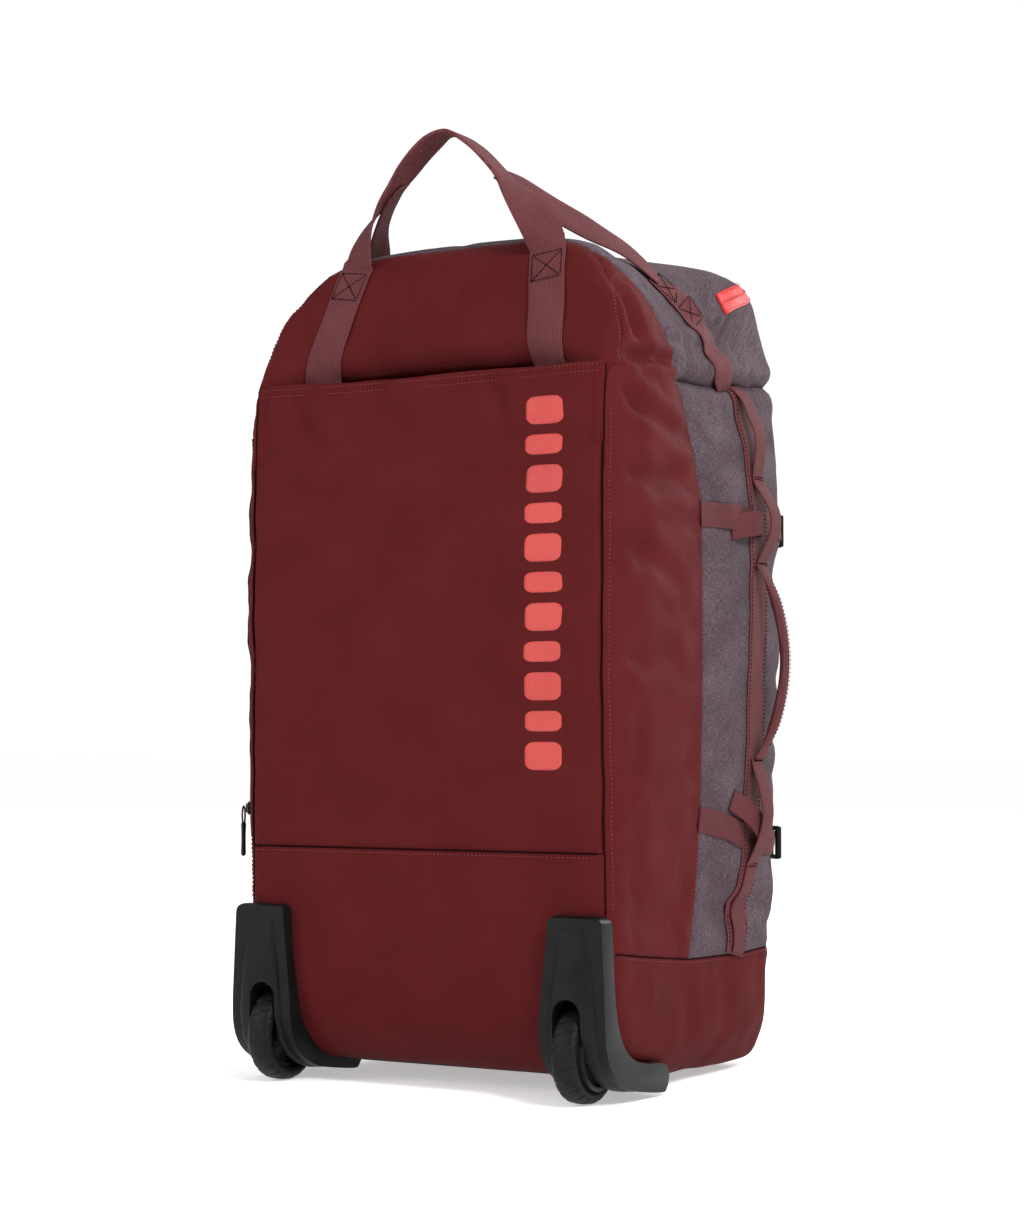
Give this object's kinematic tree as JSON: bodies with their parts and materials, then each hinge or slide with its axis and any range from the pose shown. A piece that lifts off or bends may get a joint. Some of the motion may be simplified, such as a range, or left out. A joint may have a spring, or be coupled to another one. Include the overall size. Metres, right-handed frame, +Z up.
{
  "type": "rolling duffel bag",
  "caption": "Tall soft rolling duffel with wheels at one lower edge, pull handle in a back sleeve, zipped front lid, grab loop and side haul handles.",
  "frame": {"origin": "on the floor, below the middle of the bag's bounding box", "axes": "+Z up, -Y towards the wheel side, +Y towards the lid side, X across the bag"},
  "size_m": [0.4964, 0.4117, 0.923],
  "materials": {
    "red_fabric": "matte twill",
    "grey_fabric": "melange",
    "lining": "plain weave",
    "board": "sheet",
    "black_plastic": "satin",
    "grey_plastic": "satin",
    "tyre": "matte",
    "steel": "zinc plated",
    "aluminium": "anodised",
    "webbing": "ribbed webbing",
    "zip_black": "woven tape",
    "zip_red": "coated tape",
    "zip_metal": "satin",
    "cord": "moulded",
    "mesh": "knitted mesh"
  },
  "bodies": {
    "frame": {"sleeve_panel": "red_fabric", "lower_back_panel": "red_fabric", "inner_back_wall": "lining", "yoke_panel": "red_fabric", "right_red_gusset": "red_fabric", "left_red_gusset": "red_fabric", "right_grey_gusset": "grey_fabric", "left_grey_gusset": "grey_fabric", "top_panel": "grey_fabric", "base_boot": "red_fabric", "back_board": "board", "base_board": "board", "front_feet": "black_plastic", "right_wheel_housing": "black_plastic", "left_wheel_housing": "black_plastic", "housing_screws": "steel", "right_axle": "steel", "left_axle": "steel", "handle_foot_bracket": "black_plastic", "handle_top_bracket": "black_plastic", "right_outer_tube": "aluminium", "left_outer_tube": "aluminium", "front_grab_strap": "webbing", "rear_grab_strap": "webbing", "right_side_band": "webbing", "left_side_band": "webbing", "right_daisy_loops": "webbing", "left_daisy_loops": "webbing", "right_compression_straps": "webbing", "left_compression_straps": "webbing", "right_ladder_buckles": "black_plastic", "left_ladder_buckles": "black_plastic", "body_zip_tape": "zip_black", "top_zip_tape": "zip_red", "sleeve_zip_tape": "zip_black"},
    "right_wheel": {"right_hub": "black_plastic", "right_tyre": "tyre", "right_bearings": "steel"},
    "left_wheel": {"left_hub": "black_plastic", "left_tyre": "tyre", "left_bearings": "steel"},
    "handle_middle": {"middle_tubes": "aluminium", "middle_collars": "black_plastic"},
    "handle_inner": {"inner_tubes": "aluminium", "handle_grip": "black_plastic"},
    "handle_button": {"release_button": "grey_plastic", "push_rods": "aluminium"},
    "right_haul": {"right_haul_handle": "webbing"},
    "left_haul": {"left_haul_handle": "webbing"},
    "lid": {"lid_panel": "grey_fabric", "lid_zip_tape": "zip_black", "lid_mesh_pocket": "mesh"},
    "right_slider": {"right_zip_slider": "zip_metal"},
    "right_pull": {"right_zip_pull": "cord"},
    "left_slider": {"left_zip_slider": "zip_metal"},
    "left_pull": {"left_zip_pull": "cord"},
    "top_slider": {"top_zip_slider": "zip_metal"},
    "top_pull": {"top_zip_pull": "cord"},
    "sleeve_slider": {"sleeve_zip_slider": "zip_metal"},
    "sleeve_pull": {"sleeve_zip_pull": "cord"}
  },
  "joints": [
    {"name": "right_wheel_spin", "type": "hinge", "parent": "frame", "child": "right_wheel", "pos_m": [0.173, -0.158, 0.046], "axis": [1, 0, 0], "continuous": true},
    {"name": "left_wheel_spin", "type": "hinge", "parent": "frame", "child": "left_wheel", "pos_m": [-0.173, -0.158, 0.046], "axis": [1, 0, 0], "continuous": true},
    {"name": "handle_middle_slide", "type": "slide", "parent": "frame", "child": "handle_middle", "axis": [0, 0, 1], "range_m": [0, 0.2]},
    {"name": "handle_inner_slide", "type": "slide", "parent": "handle_middle", "child": "handle_inner", "axis": [0, 0, 1], "range_m": [0, 0.2]},
    {"name": "release_button_press", "type": "slide", "parent": "handle_inner", "child": "handle_button", "axis": [0, 0, -1], "range_m": [0, 0.004], "stiffness_N_per_m": 600, "springref_m": -0.004},
    {"name": "lid_hinge", "type": "hinge", "parent": "frame", "child": "lid", "pos_m": [0, 0.188, 0.129], "axis": [-1, 0, 0], "range_deg": [0, 100]},
    {"name": "right_haul_swing", "type": "hinge", "parent": "frame", "child": "right_haul", "pos_m": [0.2147, 0.112, 0.41], "axis": [0, 0, 1], "range_deg": [-35, 35]},
    {"name": "left_haul_swing", "type": "hinge", "parent": "frame", "child": "left_haul", "pos_m": [-0.2147, 0.112, 0.41], "axis": [0, 0, 1], "range_deg": [-35, 35]},
    {"name": "right_slider_travel", "type": "slide", "parent": "frame", "child": "right_slider", "axis": [0, 0.0234, 0.9997], "range_m": [0, 0.5]},
    {"name": "right_pull_swing", "type": "hinge", "parent": "right_slider", "child": "right_pull", "pos_m": [0.1706, 0.19696, 0.134], "axis": [1, 0, 0], "range_deg": [-5, 150]},
    {"name": "left_slider_travel", "type": "slide", "parent": "frame", "child": "left_slider", "axis": [0, 0.0234, 0.9997], "range_m": [0, 0.5]},
    {"name": "left_pull_swing", "type": "hinge", "parent": "left_slider", "child": "left_pull", "pos_m": [-0.1706, 0.19696, 0.134], "axis": [1, 0, 0], "range_deg": [-5, 150]},
    {"name": "top_slider_travel", "type": "slide", "parent": "frame", "child": "top_slider", "axis": [1, 0, 0], "range_m": [0, 0.24]},
    {"name": "top_pull_swing", "type": "hinge", "parent": "top_slider", "child": "top_pull", "pos_m": [-0.12, 0.2055, 0.791], "axis": [1, 0, 0], "range_deg": [0, 120]},
    {"name": "sleeve_slider_travel", "type": "slide", "parent": "frame", "child": "sleeve_slider", "axis": [0, 0, 1], "range_m": [0, 0.36]},
    {"name": "sleeve_pull_swing", "type": "hinge", "parent": "sleeve_slider", "child": "sleeve_pull", "pos_m": [-0.2188, -0.156, 0.264], "axis": [0, 1, 0], "range_deg": [-5, 150]}
  ]
}
